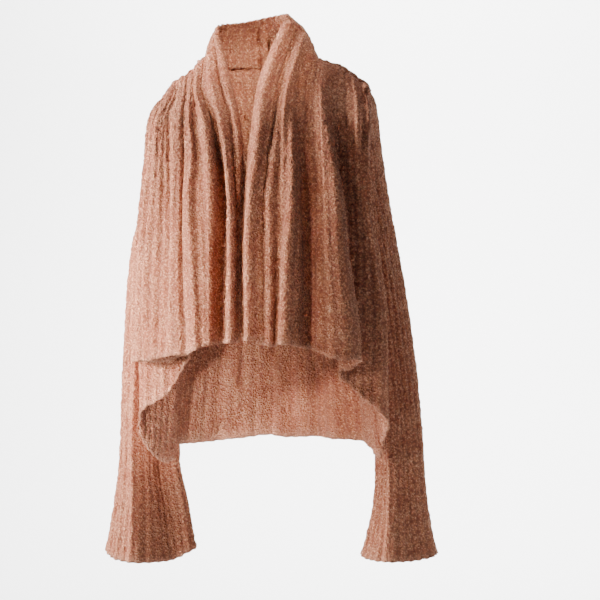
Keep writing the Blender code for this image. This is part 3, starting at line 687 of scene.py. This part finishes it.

# %% [markdown]
# A crease is a soft trough or ridge along a line of the cloth. Each is given by where it begins
# and ends across the ribs and down the piece, as shares of its width and length, then how wide it is
# and how high, with a minus for a trough. It could be left to a cloth simulation, which would put
# the creases where it likes and not where they show. The sleeves sag in soft slanting troughs
# above the elbow and the wrist, and the cuffs fold in long pleats.

# %% The creases
CREASES = {
    # for each crease: from (across, down), to (across, down), width, height in mm
    "sleeve_right": (
        ((0.700, 0.54), (0.722, 1.05), 0.026, 9.0),
        ((0.850, 0.54), (0.865, 1.05), 0.070, -20.0),
        ((0.960, 0.60), (0.975, 1.05), 0.030, 5.0),
        ((0.600, 0.70), (0.590, 1.05), 0.024, -2.4),
        ((0.560, 0.20), (0.640, 0.33), 0.026, -2.2),
        ((0.700, 0.14), (0.620, 0.28), 0.030, 1.6),
        ((0.820, 0.34), (0.700, 0.46), 0.028, -2.4),
        ((0.540, 0.46), (0.640, 0.56), 0.026, -1.8),
        ((0.28, 0.10), (0.38, 0.24), 0.030, -2.2),
        ((0.33, 0.30), (0.24, 0.47), 0.030, 2.0),
        ((0.30, 0.55), (0.20, 0.66), 0.028, -1.8),
        ((0.36, 0.62), (0.35, 1.05), 0.030, 3.6),
        ((0.25, 0.80), (0.24, 1.05), 0.040, -4.0),
        ((0.10, 0.74), (0.12, 1.05), 0.030, 2.8),
    ),
    "sleeve_left": (
        ((0.800, 0.48), (0.770, 1.05), 0.026, 7.0),
        ((0.680, 0.50), (0.660, 1.05), 0.050, -6.0),
        ((0.900, 0.60), (0.890, 1.05), 0.034, -2.6),
        ((0.560, 0.66), (0.560, 1.05), 0.026, 2.8),
        ((0.740, 0.10), (0.640, 0.26), 0.028, -2.0),
        ((0.600, 0.22), (0.690, 0.38), 0.026, -2.6),
        ((0.760, 0.30), (0.660, 0.44), 0.026, 1.8),
        ((0.620, 0.42), (0.710, 0.53), 0.022, -2.0),
        ((0.22, 0.24), (0.34, 0.38), 0.030, -2.2),
        ((0.36, 0.46), (0.25, 0.60), 0.028, 1.9),
        ((0.30, 0.70), (0.32, 1.05), 0.034, -4.2),
        ((0.15, 0.78), (0.14, 1.05), 0.028, 3.2),
    ),
    "back": (
        ((0.740, 0.30), (0.757, 1.05), 0.018, 6.5),
        ((0.550, 0.24), (0.540, 1.05), 0.022, 9.5),
        ((0.470, 0.36), (0.455, 1.05), 0.014, 6.0),
        ((0.340, 0.40), (0.350, 1.05), 0.016, 5.0),
        ((0.170, 0.34), (0.150, 1.05), 0.034, 8.0),
        ((0.840, 0.44), (0.860, 1.05), 0.032, -6.0),
        ((0.640, 0.28), (0.650, 1.05), 0.034, -7.5),
        ((0.505, 0.42), (0.498, 1.05), 0.014, -4.5),
        ((0.400, 0.26), (0.405, 1.05), 0.020, -5.5),
        ((0.280, 0.36), (0.262, 1.05), 0.030, -7.0),
    ),
    "collar": (
        ((0.85, 0.20), (0.86, 0.90), 0.100, 4.0),
        ((0.34, 0.10), (0.37, 1.00), 0.040, -1.8),
        ((0.47, 0.00), (0.46, 0.90), 0.034, 1.6),
        ((0.62, 0.15), (0.60, 1.00), 0.040, -1.6),
    ),
    "front_right": (
        ((0.112, 0.40), (0.112, 1.05), 0.016, -10.0),
        ((0.150, 0.32), (0.156, 1.05), 0.022, 6.0),
        ((0.056, 0.55), (0.052, 1.05), 0.015, 3.0),
        ((0.380, 0.10), (0.430, 0.34), 0.010, -1.6),
        ((0.300, 0.14), (0.330, 0.42), 0.008, 1.4),
        ((0.400, 0.50), (0.370, 0.86), 0.010, 1.8),
        ((0.460, 0.62), (0.440, 1.05), 0.008, -2.0),
        ((0.250, 0.20), (0.270, 0.60), 0.007, -1.4),
        ((0.700, 0.50), (0.660, 1.05), 0.016, 2.4),
        ((0.780, 0.60), (0.760, 1.05), 0.014, -2.6),
    ),
    "front_left": (
        ((0.046, 0.00), (0.050, 0.50), 0.026, 5.0),
        ((0.080, 0.34), (0.090, 1.05), 0.040, 11.0),
        ((0.168, 0.00), (0.168, 0.42), 0.018, 6.0),
        ((0.205, 0.30), (0.212, 1.05), 0.026, 6.0),
        ((0.268, 0.30), (0.272, 1.05), 0.022, -5.0),
        ((0.405, 0.40), (0.412, 1.05), 0.024, 10.0),
        ((0.645, 0.00), (0.650, 0.34), 0.036, -6.0),
        ((0.260, 0.10), (0.300, 0.40), 0.012, -1.5),
        ((0.560, 0.25), (0.520, 0.70), 0.014, 1.8),
        ((0.660, 0.40), (0.680, 1.05), 0.012, -1.8),
        ((0.160, 0.30), (0.180, 0.66), 0.010, 1.4),
        ((0.800, 0.50), (0.820, 1.05), 0.016, 2.6),
    ),
}
CREASE_FADE = 0.06
CREASE_OPENS_OVER = 3


def crease_heights(name, rows, columns):
    """How far the creases of a piece stand out or in, in mm, at each point."""
    down, across = np.meshgrid(np.linspace(0, 1, rows), np.linspace(0, 1, columns), indexing="ij")
    height = np.zeros((rows, columns))
    for (from_across, from_down), (to_across, to_down), width, most in CREASES[name]:
        share = np.clip((down - from_down) / (to_down - from_down), 0, 1)
        middle = from_across + (to_across - from_across) * share
        outside = np.maximum(from_down - down, 0) + np.maximum(down - to_down, 0)
        opening = np.sqrt(np.clip(share * CREASE_OPENS_OVER, 0, 1))
        fade = np.exp(-((outside / CREASE_FADE) ** 2)) * opening
        height += most * np.exp(-(((across - middle) / width) ** 2)) * fade
    return height


print("creases:", {name: len(rows) for name, rows in CREASES.items()})

# %% [markdown]
# A few places need their own care. Where the cloth turns away under the arm, its ribs lie flat.
# Beside the arm the hidden layers are kept clear of the one in front. The back's hem hangs unevenly.

# %% Places with their own care
FLAT_RIBS = {
    # piece: (middle across, width), (from down, to down)
    "front_left": ((0.665, 0.060), (0.0, 0.42)),
}
FLATTENING = 0.95
FLAT_RIBS_FADE = 0.12
LAYERS_APART = {
    # piece: (from across, to across), down to, mm
    "front_left": ((0.70, 1.00), 0.46, 5.5),
    "front_right": ((0.45, 0.64), 0.30, 3.5),
}
LAYERS_FADE_ACROSS = 0.03
LAYERS_FADE_DOWN = 0.12
HEM_DROPS = {
    # piece: shares of the width, how much lower than even the hem hangs there, in mm
    "back": ((0.0, 0.25, 0.36, 0.475, 0.55, 0.67, 0.785, 0.895, 1.0), (0, 3, 0, 2, -1, 5, 10, 6, 0)),
}


def flattened(name, share, down):
    """How much of the ribs' height goes, from 0 to FLATTENING."""
    if name not in FLAT_RIBS:
        return 0.0
    (place, width), (start, end) = FLAT_RIBS[name]
    across = np.exp(-(((share - place) / width) ** 4))
    there = across * (down >= start) * np.clip((end - down) / FLAT_RIBS_FADE, 0, 1)
    return FLATTENING * there


def layer_lift(name, share, down):
    """How far the hidden layers are lifted, in mm."""
    if name not in LAYERS_APART:
        return 0.0
    (start, end), bottom, clear = LAYERS_APART[name]
    from_start = np.clip((share - start) / LAYERS_FADE_ACROSS, 0, 1)
    to_end = np.clip((end - share) / LAYERS_FADE_ACROSS, 0, 1)
    return clear * (from_start * to_end) * np.clip((bottom - down) / LAYERS_FADE_DOWN, 0, 1)


print("the back's hem drops by up to", max(HEM_DROPS["back"][1]), "mm")

# %% [markdown]
# The yarn is a loop yarn: small curls stand out all over it. Each loop could be a curve of its own,
# but a garment has far too many of them. So two sizes of noise lift and lower the surface, the larger
# for the clumps and the smaller for the single curls. It is read at the point's own place, so it is
# the same each time.

# %% The curls of the yarn
SEED_SHIFT = (1.0, 2.3, 5.1)


def curls(points, size, seed):
    """Noise of about this size, from -1 to 1, at each point."""
    shift = Vector([seed * step for step in SEED_SHIFT])
    scale = 1.0 / size
    flat = points.reshape(-1, 3)
    values = [noise.noise(Vector(point) * scale + shift) for point in flat.tolist()]
    return np.array(values).reshape(points.shape[:2])


# %% [markdown]
# The ribs are soft waves across the row, as many as the sheet has. They could be a bump in the material,
# but a bump is flat at the outline, where ribs show most, so the points are moved. Where the cloth is
# gathered the ribs are lower, because it is squeezed there.

# %% The ribs' relief
RIB_FULLNESS = 0.8
LOWEST_RIB = 0.12


def rib_profile(share, ribs):
    """1 on the crest of a rib and 0 in the groove."""
    wave = 0.5 - 0.5 * np.cos(2 * np.pi * share * ribs)
    return wave**RIB_FULLNESS


def rib_fullness(grid, ring):
    """How high the ribs stand at each point, as a share of their height."""
    spread = np.linalg.norm(np.gradient(grid, axis=1), axis=2)
    spread = smoothed(spread, SMOOTHING_ROUNDS, ring)
    return np.clip((spread / np.median(spread) - RIB_GATHERED) / (RIB_FREE - RIB_GATHERED), LOWEST_RIB, 1)


print("a rib halfway up its side:", rib_profile(0.25, 1).round(2))

# %% [markdown]
# A sleeve's head rises a little to meet the body's cloth, and its first rows are the seam allowance,
# which lies under that cloth. Both stay down beside the front, where the front's own folds cover the seam.

# %% The sleeve's head
HEAD_RISE = 2.6
HEAD_DEPTH = 0.10
HEAD_FRONT = (0.75, 0.12)
SEAM_ALLOWANCE = {"sleeve_left": 5.0, "sleeve_right": 8.5}
ALLOWANCE_ROWS = 2
ALLOWANCE_FRONT = (0.69, 0.18)


def near(share, place, width):
    """1 at a place on the row, fading to 0 at both sides."""
    return np.exp(-(((share - place) / width) ** 2))


def head_lift(name, share, down, rows):
    """How far a sleeve's head is lifted outwards, in mm."""
    rise = HEAD_RISE * np.clip(1 - down / HEAD_DEPTH, 0, 1) * (1 - near(share, *HEAD_FRONT))
    under = np.clip(1 - down * (rows - 1) / ALLOWANCE_ROWS, 0, 1)
    return rise + SEAM_ALLOWANCE[name] * under * (1 - near(share, *ALLOWANCE_FRONT))


print("seam allowances in mm:", SEAM_ALLOWANCE)

# %% [markdown]
# At the hem the ribs end in a cast-off row that stands a little proud, and the edge waves with the ribs
# and with a slow noise. An edge that is left straight looks as if it were sawn off.

# %% The hem
HEM_WAVE = 2.2
HEM_WAVE_SIZE = 26.0
HEM_START, HEM_SPAN = 0.94, 0.06
CAST_OFF_HEIGHT = 1.8
CAST_OFF_START, CAST_OFF_SPAN = 0.985, 0.010
EDGE_START, EDGE_SPAN = 0.988, 0.008


def faded_in(down, start, span):
    """0 above the start, 1 from the end of the span on."""
    return np.clip((down - start) / span, 0, 1)


def hem_wave(name, grid, rib, seed):
    """How far the hem's edge hangs below even, in mm, at each column."""
    slow = curls(grid[-1:], HEM_WAVE_SIZE, seed)[0]
    wave = HEM_WAVE * (0.5 * slow + 0.5 * (rib[-1] - 0.5))
    if name in HEM_DROPS:
        wave = wave + smooth_through(*HEM_DROPS[name], np.linspace(0, 1, grid.shape[1]))
    return wave


print("the last share of a piece that is its hem:", HEM_SPAN)

# %% [markdown]
# Now a piece is made. Its points are the sheet's, plus the rib, the creases and the curls along
# the outward direction. A Solidify modifier later gives it the wall, inwards, so the inside shows
# the ribs too, as a real rib knit does.

# %% The knit of one piece
CLUMP_SIZE = 7.0
CLUMP_HEIGHT = 1.5
CURL_SIZE = 3.4
CURL_HEIGHT = 1.3
CURL_SEED, HEM_SEED = 9, 3


def knitted(name, grid, ribs, seed, turned=False, ring=False):
    """The finished sheet of a piece, as an object without its wall."""
    rows, columns = grid.shape[:2]
    normal = outward(grid) * (-1 if turned else 1)
    normal = smoothed(normal, SMOOTHING_ROUNDS, ring)
    normal /= np.linalg.norm(normal, axis=2)[..., None] + NO_LENGTH
    share = np.linspace(0, 1, columns)[None, :]
    down = np.linspace(0, 1, rows)[:, None]
    rib = rib_profile(share, ribs) + np.zeros((rows, 1))
    full = rib_fullness(grid, ring) * (1 - flattened(name, share, down))
    lift = 0.5 * WALL + RIB_HEIGHT * rib * full
    lift += crease_heights(name, rows, columns)
    lift += layer_lift(name, share, down)
    if ring:
        lift += head_lift(name, share, down, rows)
    clumps = CLUMP_HEIGHT * curls(grid, CLUMP_SIZE, seed)
    lift += clumps + CURL_HEIGHT * curls(grid, CURL_SIZE, seed + CURL_SEED)
    lift += CAST_OFF_HEIGHT * faded_in(down, CAST_OFF_START, CAST_OFF_SPAN)
    along = grid[-1] - grid[-4]
    along /= np.linalg.norm(along, axis=1)[:, None]
    drop = faded_in(down, HEM_START, HEM_SPAN) * hem_wave(name, grid, rib, seed + HEM_SEED)[None, :]
    placed = grid + normal * lift[..., None] + drop[..., None] * along[None]
    # where the cast-off row is, which the material paints paler as a highlight
    edge = faded_in(down, EDGE_START, EDGE_SPAN) + np.zeros((rows, columns))
    return place_sheet(name, placed, rib, full, edge)


# %% [markdown]
# A flat grid of bmesh is laid out with one vertex for each point, and the vertices, which are found again
# by their row and column, are moved to their places. Faces could be listed one by one, but the grid has
# them in one call. Two attributes keep how high the ribs stand and where the cast-off row is; the material
# uses them to paint shade into the grooves and a highlight onto the cast-off row. The UV map has the cloth's
# real sizes.

# %% The points as an object
LOW_CREST, CREST_RANGE = 0.25, 0.75


def place_sheet(name, placed, rib, full, edge):
    """The points as an object: a grid of faces with its attributes and its UV map."""
    rows, columns = placed.shape[:2]
    bm = bmesh.new()
    bmesh.ops.create_grid(bm, x_segments=columns - 1, y_segments=rows - 1, size=0.5, calc_uvs=True)
    mesh = bpy.data.meshes.new(name + "_knit")
    bm.to_mesh(mesh)
    bm.free()
    flat = np.empty(len(mesh.vertices) * 3)
    mesh.vertices.foreach_get("co", flat)
    flat = flat.reshape(-1, 3)
    column = np.rint((flat[:, 0] + 0.5) * (columns - 1)).astype(int)
    row = np.rint((0.5 - flat[:, 1]) * (rows - 1)).astype(int)
    mesh.vertices.foreach_set("co", (placed[row, column] * MM).ravel())
    # how high the rib stands here, which the material uses to paint shade into the grooves
    crest = mesh.attributes.new("rib_crest", "FLOAT", "POINT")
    crest.data.foreach_set("value", (rib * (LOW_CREST + CREST_RANGE * full))[row, column])
    cast_off = mesh.attributes.new("cast_off", "FLOAT", "POINT")
    cast_off.data.foreach_set("value", edge[row, column])
    corners = np.empty(len(mesh.loops), int)
    mesh.loops.foreach_get("vertex_index", corners)
    width = np.linalg.norm(np.diff(placed[rows // 2], axis=0), axis=1).sum() * MM
    length = np.linalg.norm(np.diff(placed[:, columns // 2], axis=0), axis=1).sum() * MM
    uv = np.stack([column[corners] / (columns - 1) * width, row[corners] / (rows - 1) * length], axis=1)
    mesh.uv_layers.new(name="cloth").data.foreach_set("uv", uv.ravel())
    mesh.update()
    sheet = bpy.data.objects.new(name + "_knit", mesh)
    bpy.context.scene.collection.objects.link(sheet)
    return sheet


# %% [markdown]
# A sleeve is welded along the seam under the arm, and a sheet that was laid out the other way round has
# its faces turned. Then each piece gets its wall and its yarn, and takes the place of its solid.

# %% Finishing a piece
WELD_REACH = 0.05


def finish_piece(sheet, node, material, turned, welded):
    """Welds, walls and colours a sheet, puts it in its solid's place and prints its size."""
    bm = bmesh.new()
    bm.from_mesh(sheet.data)
    if welded:
        bmesh.ops.remove_doubles(bm, verts=bm.verts, dist=WELD_REACH * MM)
    if turned:
        bmesh.ops.reverse_faces(bm, faces=bm.faces)
    bm.to_mesh(sheet.data)
    bm.free()
    sheet.data.shade_smooth()
    wall = sheet.modifiers.new("wall", "SOLIDIFY")
    wall.thickness = WALL * MM
    wall.offset = -1.0
    sheet.data.materials.append(material)
    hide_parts(node)
    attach(sheet, "root")
    graph = bpy.context.evaluated_depsgraph_get()
    made = sheet.evaluated_get(graph).to_mesh()
    made.calc_loop_triangles()
    area = 0.5 * sum(polygon.area for polygon in made.polygons)
    print(node, "triangles", len(made.loop_triangles), "area of one side", round(area, 4))


# %% [markdown]
# The yarn is a dusty terracotta loop yarn. Loops catch the light and the pits between them stay dark,
# so shade is painted into the colour in the pits and in the grooves between the ribs, and a highlight is
# painted on the loops' middles and on the cast-off row. The colour also drifts a little from place to place,
# as hand-dyed yarn does. Three helpers mix two colours, change a range and make a bump.

# %% Colours and helpers of the material
YARN = (0.590, 0.224, 0.124, 1.0)
YARN_PALE = (0.820, 0.405, 0.240, 1.0)
# a pale colour painted on as highlight, where the loops' middles and the cast-off row catch the light
YARN_PAINTED_HIGHLIGHT = (0.930, 0.590, 0.430, 1.0)
# a dark colour painted on as shade, in the pits between the loops and the grooves between the ribs
YARN_PAINTED_SHADE = (0.300, 0.096, 0.066, 1.0)


def mixed(tree, factor, first, second):
    """The first colour, going over to the second as the factor goes from 0 to 1."""
    mix = tree.nodes.new("ShaderNodeMix")
    mix.data_type = "RGBA"
    for socket, value in ((mix.inputs[0], factor), (mix.inputs[6], first), (mix.inputs[7], second)):
        if isinstance(value, bpy.types.NodeSocket):
            tree.links.new(value, socket)
        else:
            socket.default_value = value
    return mix.outputs[2]


def ranged(tree, value, low, high, to_low, to_high):
    """A value from low to high, changed to one from to_low to to_high."""
    change = tree.nodes.new("ShaderNodeMapRange")
    tree.links.new(value, change.inputs[0])
    for index, number in enumerate((low, high, to_low, to_high)):
        change.inputs[index + 1].default_value = number
    return change.outputs[0]


def bumped(tree, height, distance, strength, before=None):
    """The direction of the surface with a bump, on top of an earlier one."""
    bump = tree.nodes.new("ShaderNodeBump")
    bump.inputs["Distance"].default_value = distance
    bump.inputs["Strength"].default_value = strength
    tree.links.new(height, bump.inputs["Height"])
    if before is not None:
        tree.links.new(before, bump.inputs["Normal"])
    return bump.outputs["Normal"]


# %% [markdown]
# The loops are drawn by rounded cells at two sizes. A noise bends the place where the cells are read,
# so that they curl. Both are worked out from a point's own place on the object. An image of wool
# would repeat itself, and would stretch in the folds.

# %% The loops
BEND_SCALE = 210.0
BEND_REACH = 0.0042
LOOP_SCALES = (280.0, 600.0)
DRIFT_SCALE = 34.0


def noise_texture(tree, place, scale, detail):
    texture = tree.nodes.new("ShaderNodeTexNoise")
    texture.inputs["Scale"].default_value = scale
    texture.inputs["Detail"].default_value = detail
    tree.links.new(place, texture.inputs["Vector"])
    return texture


def loop_cells(tree, place):
    """How far a point is from the middle of its loop, for each size of loop."""
    warp = noise_texture(tree, place, BEND_SCALE, 3.0)
    bend = tree.nodes.new("ShaderNodeVectorMath")
    bend.operation = "MULTIPLY_ADD"
    tree.links.new(warp.outputs["Color"], bend.inputs[0])
    bend.inputs[1].default_value = (BEND_REACH, BEND_REACH, BEND_REACH)
    tree.links.new(place, bend.inputs[2])
    cells = []
    for scale in LOOP_SCALES:
        cell = tree.nodes.new("ShaderNodeTexVoronoi")
        cell.feature = "F1"
        cell.inputs["Scale"].default_value = scale
        tree.links.new(bend.outputs[0], cell.inputs["Vector"])
        cells.append(cell.outputs["Distance"])
    return cells


def attribute(tree, name):
    node = tree.nodes.new("ShaderNodeAttribute")
    node.attribute_name = name
    return node.outputs["Fac"]


print("a large loop is about", round(1000 / LOOP_SCALES[0], 1), "mm wide")

# %% [markdown]
# The colour is built up in layers: the drift, the painted shade in the pits, the painted highlight on the
# loops' middles, the painted shade in the grooves and the painted highlight on the cast-off row. The sheen
# stands for the fuzz.
# Hair strands could show it better from close by, but at this distance they cost much and change little.

# %% The loop yarn
# each range: from, to, and what these two become
PALE_DRIFT = (0.35, 0.65, 0.0, 0.55)
PIT_PAINTED_SHADE = (0.32, 0.82, 0.0, 0.80)
TIP_PAINTED_HIGHLIGHT = (0.08, 0.34, 0.90, 0.0)
GROOVE_PAINTED_SHADE = (0.0, 0.7, 0.36, 0.0)
CAST_OFF_PAINTED_HIGHLIGHT = (0.0, 1.0, 0.0, 0.14)
LOOP_ROUNDNESS = (0.0, 0.8, 1.0, 0.0)
# each bump: distance in m, strength
LARGE_LOOP_BUMP = (0.0025, 1.0)
SMALL_LOOP_BUMP = (0.0009, 0.8)


def yarn_colour_and_painted_light(tree, place, cells):
    # the yarn's own colour, with painted shade and painted highlights layered over it
    drift = noise_texture(tree, place, DRIFT_SCALE, 4.0).outputs["Fac"]
    # painted shade: the colour goes darker away from the middle of each loop, in the pits between loops
    pits = ranged(tree, cells[0], *PIT_PAINTED_SHADE)
    # painted highlight: the colour goes paler at the middle of each loop, where it catches the light
    tips = ranged(tree, cells[0], *TIP_PAINTED_HIGHLIGHT)
    # painted shade: the colour goes darker in the grooves between the ribs, most where the ribs stand full
    grooves = ranged(tree, attribute(tree, "rib_crest"), *GROOVE_PAINTED_SHADE)
    # painted highlight: the cast-off row goes paler, as where the rolled hem catches the light
    edge = ranged(tree, attribute(tree, "cast_off"), *CAST_OFF_PAINTED_HIGHLIGHT)
    tone = mixed(tree, ranged(tree, drift, *PALE_DRIFT), YARN, YARN_PALE)
    tone = mixed(tree, pits, tone, YARN_PAINTED_SHADE)
    tone = mixed(tree, tips, tone, YARN_PAINTED_HIGHLIGHT)
    tone = mixed(tree, grooves, tone, YARN_PAINTED_SHADE)
    return mixed(tree, edge, tone, YARN_PAINTED_HIGHLIGHT)


def loop_yarn():
    material = bpy.data.materials.new("loop_yarn_rib_knit")
    material.use_nodes = True
    tree = material.node_tree
    shader = tree.nodes["Principled BSDF"]
    place = tree.nodes.new("ShaderNodeTexCoord").outputs["Object"]
    cells = loop_cells(tree, place)
    tree.links.new(yarn_colour_and_painted_light(tree, place, cells), shader.inputs["Base Color"])
    loops = bumped(tree, ranged(tree, cells[0], *LOOP_ROUNDNESS), *LARGE_LOOP_BUMP)
    loops = bumped(tree, ranged(tree, cells[1], *LOOP_ROUNDNESS), *SMALL_LOOP_BUMP, loops)
    tree.links.new(loops, shader.inputs["Normal"])
    shader.inputs["Roughness"].default_value = 0.95
    shader.inputs["Specular IOR Level"].default_value = 0.15
    shader.inputs["Sheen Weight"].default_value = 0.16
    shader.inputs["Sheen Roughness"].default_value = 0.5
    shader.inputs["Sheen Tint"].default_value = (1.0, 0.72, 0.56, 1.0)
    return material


yarn = loop_yarn()
print("nodes in the yarn's material:", len(yarn.node_tree.nodes))

# %% [markdown]
# The six pieces that a maker cuts and sews: two fronts, the back, the collar and two sleeves.
# Each has a seed of its own, so that no two have the same curls.

# %% The six pieces
def make_piece(node, sheet_and_ribs, seed, turned=False, ring=False):
    grid, ribs = sheet_and_ribs
    sheet = knitted(node, grid, ribs, seed, turned, ring)
    finish_piece(sheet, node, yarn, turned, welded=ring)
    return sheet


pieces = {
    "front_left": make_piece("front_left", front_sheet(LEFT_FRONT, 1), 11),
    "front_right": make_piece("front_right", front_sheet(RIGHT_FRONT, -1), 23, turned=True),
    "back": make_piece("back", refined_sheet(back_grid(), ROWS_FRONT), 37),
    "collar": make_piece("collar", collar_sheet(), 41, turned=True),
    "sleeve_left": make_piece("sleeve_left", sleeve_sheet(LEFT_SLEEVE, 1), 53, turned=True, ring=True),
    "sleeve_right": make_piece("sleeve_right", sleeve_sheet(RIGHT_SLEEVE, -1), 67, ring=True),
}
print("pieces:", len(pieces))

# %% [markdown]

# %% [markdown]
# A pale sheet of studio paper runs along the floor and curves up behind the garment. Two planes would
# show a line where the floor meets the wall, so one strip is bent through a quarter of a circle.

# %% The paper floor
FLOOR_HEIGHT = -1.15
FLOOR_FRONT = -4.0
BEND_START = 2.2
BEND_RADIUS = 1.6
BEND_MIDDLE_HEIGHT = 0.45
PAPER_TOP = (3.8, 4.0)
PAPER_HALF_WIDTH = 6.0


def paper_bend(degrees):
    """A point of the paper's bend, as (depth, height)."""
    turn = math.radians(degrees)
    return BEND_START + BEND_RADIUS * math.sin(turn), BEND_MIDDLE_HEIGHT - BEND_RADIUS * math.cos(turn)


def pale_paper():
    material = bpy.data.materials.new("pale_paper")
    material.use_nodes = True
    shader = material.node_tree.nodes["Principled BSDF"]
    shader.inputs["Base Color"].default_value = (0.95, 0.95, 0.95, 1.0)
    shader.inputs["Roughness"].default_value = 0.9
    return material


def sweep():
    """The floor of paper, turned to face the eye."""
    profile = [(FLOOR_FRONT, FLOOR_HEIGHT), (BEND_START, FLOOR_HEIGHT)]
    profile += [paper_bend(degrees) for degrees in range(10, 91, 10)]
    profile += [PAPER_TOP]
    bm = bmesh.new()
    lines = []
    for x in (-PAPER_HALF_WIDTH, PAPER_HALF_WIDTH):
        lines.append([bm.verts.new((x, y, z)) for y, z in profile])
    for i in range(len(profile) - 1):
        bm.faces.new((lines[0][i], lines[1][i], lines[1][i + 1], lines[0][i + 1]))
    mesh = bpy.data.meshes.new("studio_floor")
    bm.to_mesh(mesh)
    bm.free()
    mesh.shade_smooth()
    mesh.materials.append(pale_paper())
    floor = bpy.data.objects.new("studio_floor", mesh)
    floor.rotation_euler[2] = TURN
    bpy.context.scene.collection.objects.link(floor)


sweep()
print("the floor lies at", FLOOR_HEIGHT, "m")

# %% [markdown]
# A low key light from the left side gives the folds their light and dark sides. One large soft light
# would be simpler, but the folds would look flat in it. Small narrow lights lift the fronts, the back's
# hem and the inside of the neck, and one light makes the backdrop pale.

# %% The lights
LIGHTS = (
    # name, place, aimed at, size in m, power in W, colour, spread in degrees
    ("key_light", (-1.75, -0.42, 0.12), (0.0, 0.0, -0.35), 1.2, 40.0, (1.0, 0.91, 0.83), 90.0),
    ("front_light", (-1.15, -1.85, 0.10), (-0.13, 0.0, -0.38), 0.4, 1.15, (1.0, 0.86, 0.75), 15.0),
    ("fill_light", (-1.1, -2.7, 0.6), (0.0, 0.0, -0.3), 2.0, 0.3, (1.0, 0.88, 0.80), 60.0),
    ("hem_light", (-0.50, -1.5, -0.95), (-0.09, 0.1, -0.50), 0.15, 0.15, (1.0, 0.93, 0.86), 9.0),
    ("neck_light", (0.26, -1.4, 0.60), (-0.05, 0.07, 0.02), 0.15, 0.19, (1.0, 0.86, 0.72), 9.0),
    ("backdrop_light", (0.0, 1.2, 2.6), (0.0, 3.6, 0.0), 3.0, 560.0, (1.0, 1.0, 1.0), 120.0),
)


def studio_light(name, place, target, size, energy, colour, spread):
    light = bpy.data.lights.new(name, "AREA")
    light.size = size
    light.energy = energy
    light.spread = math.radians(spread)
    light.color = colour
    lamp = bpy.data.objects.new(name, light)
    lamp.location = place
    lamp.rotation_euler = (Vector(target) - Vector(place)).to_track_quat("-Z", "Y").to_euler()
    bpy.context.scene.collection.objects.link(lamp)


for light_row in LIGHTS:
    studio_light(*light_row)
world = bpy.data.worlds.new("soft_room")
bpy.context.scene.world = world
world.use_nodes = True
room_glow = world.node_tree.nodes["Background"]
room_glow.inputs["Color"].default_value = (1.0, 0.98, 0.96, 1.0)
room_glow.inputs["Strength"].default_value = 0.025
print("lights:", len(LIGHTS))

# %% [markdown]
# The camera stands at the eye that the fold lines were seen from, and its view is as wide as it saw.
# From any other place the folds would show at other angles than those they were laid out for.

# %% The camera
SENSOR_WIDTH = 36.0
VIEW_WIDTH = 960.0

lens = bpy.data.cameras.new("camera")
lens.sensor_width = SENSOR_WIDTH
lens.lens = SENSOR_WIDTH * EYE_DISTANCE / VIEW_WIDTH
camera = bpy.data.objects.new("camera", lens)
side, away = EYE_ACROSS * MM, EYE_DISTANCE * MM
camera.location = (
    math.cos(TURN) * side + math.sin(TURN) * away,
    math.sin(TURN) * side - math.cos(TURN) * away,
    EYE_HEIGHT * MM,
)
camera.rotation_euler = (math.radians(90.0), 0.0, TURN)
bpy.context.scene.collection.objects.link(camera)
bpy.context.scene.camera = camera
print("focal length:", round(lens.lens, 1), "mm")
